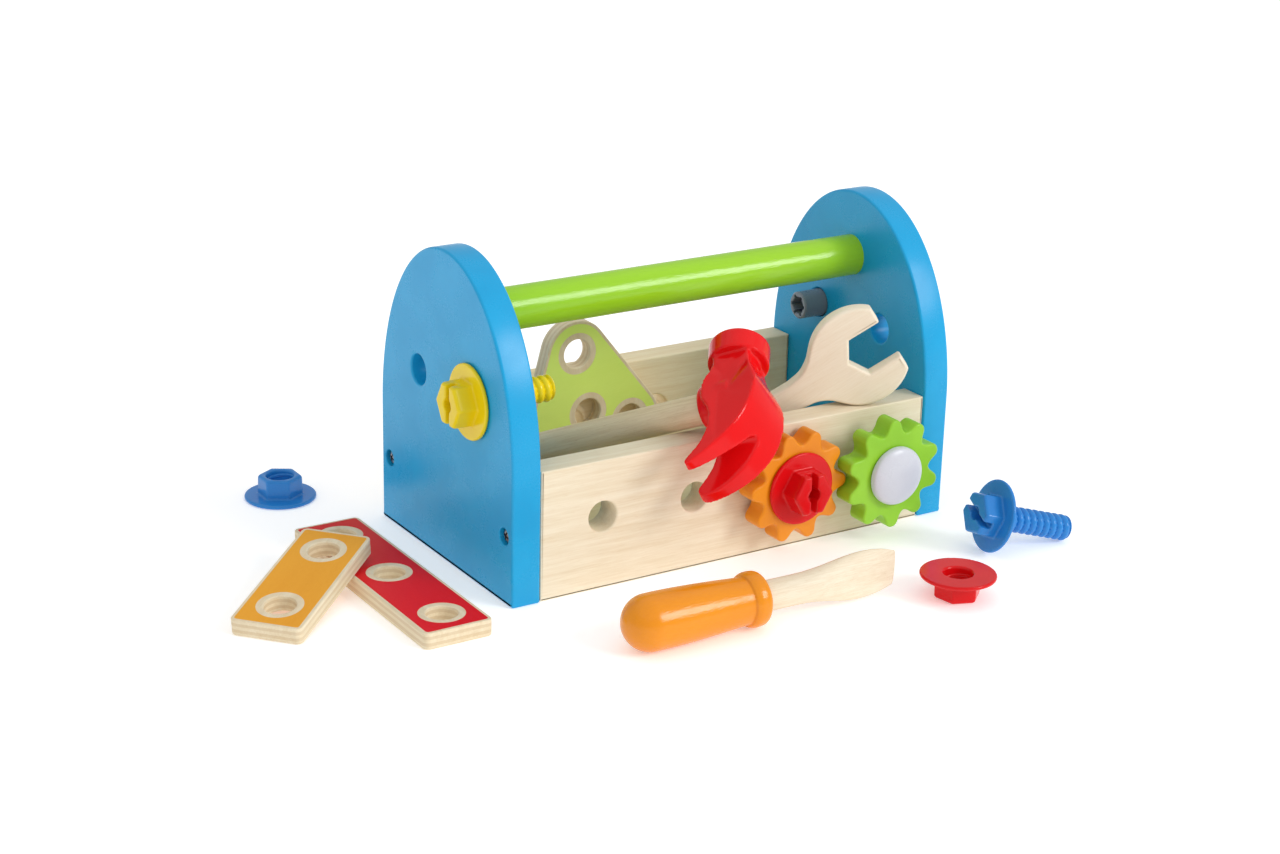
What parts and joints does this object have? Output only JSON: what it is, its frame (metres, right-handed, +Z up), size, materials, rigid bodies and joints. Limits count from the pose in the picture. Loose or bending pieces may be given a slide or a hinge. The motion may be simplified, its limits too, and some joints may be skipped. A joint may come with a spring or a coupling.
{
  "type": "toy tool box",
  "caption": "Wooden toy tool box with arched end panels, a round carry handle, holed boards, meshing gears, bolts, pegs, a hammer, a wrench, a screwdriver, nuts and plywood plates.",
  "frame": {"origin": "under the middle of the box, on the plane that it stands on", "axes": "+X along the carry handle towards the panel with the peg, +Y from the front board to the back board, +Z up"},
  "size_m": [0.4049, 0.3023, 0.154],
  "materials": {
    "panel_blue": "satin blue paint on wood",
    "board_wood": "clear satin lacquer on pale wood",
    "handle_green": "glossy green paint on a wooden dowel",
    "bolt_yellow": "glossy moulded plastic",
    "bolt_red": "glossy moulded plastic",
    "bolt_blue": "glossy moulded plastic",
    "peg_grey": "pearl grey moulded plastic",
    "gear_orange": "satin orange paint on wood",
    "gear_green": "satin green paint on wood",
    "hammer_red": "glossy red paint on wood",
    "tool_wood": "bare smooth pale wood",
    "driver_orange": "glossy orange paint on turned wood",
    "plate_lime": "printed lime face on plywood",
    "bar_red": "printed red face on plywood",
    "bar_orange": "printed orange face on plywood",
    "screw_metal": "dark steel",
    "dowel_wood": "bare wood"
  },
  "bodies": {
    "caddy": {"left_end_panel": "panel_blue", "right_end_panel": "panel_blue", "front_board": "board_wood", "back_board": "board_wood", "bottom_board": "board_wood", "carry_handle": "handle_green", "front_left_screw": "screw_metal", "back_left_screw": "screw_metal", "front_right_screw": "screw_metal", "back_right_screw": "screw_metal", "front_left_lower_dowel": "dowel_wood", "front_left_upper_dowel": "dowel_wood", "back_left_lower_dowel": "dowel_wood", "back_left_upper_dowel": "dowel_wood", "front_right_lower_dowel": "dowel_wood", "front_right_upper_dowel": "dowel_wood", "back_right_lower_dowel": "dowel_wood", "back_right_upper_dowel": "dowel_wood"},
    "hammer": {"hammer_head": "hammer_red", "hammer_handle": "tool_wood"},
    "screwdriver": {"screwdriver_handle": "driver_orange", "screwdriver_blade": "tool_wood"},
    "yellow_bolt": {"yellow_bolt": "bolt_yellow"},
    "red_bolt": {"red_bolt": "bolt_red"},
    "blue_bolt": {"blue_bolt": "bolt_blue"},
    "blue_nut": {"blue_nut": "bolt_blue"},
    "red_nut": {"red_nut": "bolt_red"},
    "front_peg": {"front_peg": "peg_grey"},
    "right_peg": {"right_peg": "peg_grey"},
    "orange_gear": {"orange_gear": "gear_orange"},
    "green_gear": {"green_gear": "gear_green"},
    "wrench": {"wrench": "tool_wood"},
    "triangle_plate": {"triangle_plate": "plate_lime"},
    "red_bar": {"red_bar": "bar_red"},
    "orange_bar": {"orange_bar": "bar_orange"}
  },
  "joints": [
    {"name": "orange_gear_spin", "type": "hinge", "parent": "caddy", "child": "orange_gear", "pos_m": [0.0255, -0.0732, 0.036], "axis": [0, -1, 0], "continuous": true},
    {"name": "green_gear_spin", "type": "hinge", "parent": "caddy", "child": "green_gear", "pos_m": [0.0765, -0.0812, 0.036], "axis": [0, -1, 0], "continuous": true},
    {"name": "red_bolt_pull", "type": "slide", "parent": "caddy", "child": "red_bolt", "axis": [0, -1, 0], "range_m": [0, 0.033]},
    {"name": "front_peg_pull", "type": "slide", "parent": "caddy", "child": "front_peg", "axis": [0, -1, 0], "range_m": [0, 0.045]},
    {"name": "yellow_bolt_pull", "type": "slide", "parent": "caddy", "child": "yellow_bolt", "axis": [-1, 0, 0], "range_m": [0, 0.06]},
    {"name": "right_peg_pull", "type": "slide", "parent": "caddy", "child": "right_peg", "axis": [1, 0, 0], "range_m": [0, 0.045]},
    {"name": "hammer_lift", "type": "slide", "parent": "caddy", "child": "hammer", "axis": [0.2, -0.69, 0.6956], "range_m": [0, 0.12]},
    {"name": "wrench_lift", "type": "slide", "parent": "caddy", "child": "wrench", "axis": [0.2, -0.15, 0.9682], "range_m": [0, 0.12]},
    {"name": "triangle_plate_lift", "type": "slide", "parent": "caddy", "child": "triangle_plate", "axis": [0, 0, 1], "range_m": [0, 0.1]},
    {"name": "screwdriver_lift", "type": "slide", "parent": "caddy", "child": "screwdriver", "axis": [0, 0, 1], "range_m": [0, 0.08]},
    {"name": "blue_bolt_lift", "type": "slide", "parent": "caddy", "child": "blue_bolt", "axis": [0, 0, 1], "range_m": [0, 0.08]},
    {"name": "blue_nut_lift", "type": "slide", "parent": "caddy", "child": "blue_nut", "axis": [0, 0, 1], "range_m": [0, 0.08]},
    {"name": "red_nut_lift", "type": "slide", "parent": "caddy", "child": "red_nut", "axis": [0, 0, 1], "range_m": [0, 0.08]},
    {"name": "red_bar_lift", "type": "slide", "parent": "caddy", "child": "red_bar", "axis": [0, 0, 1], "range_m": [0, 0.06]},
    {"name": "orange_bar_lift", "type": "slide", "parent": "red_bar", "child": "orange_bar", "axis": [0, 0, 1], "range_m": [0, 0.06]}
  ],
  "couplings": [
    {"joint": "green_gear_spin", "follows": "orange_gear_spin", "ratio": -1}
  ]
}
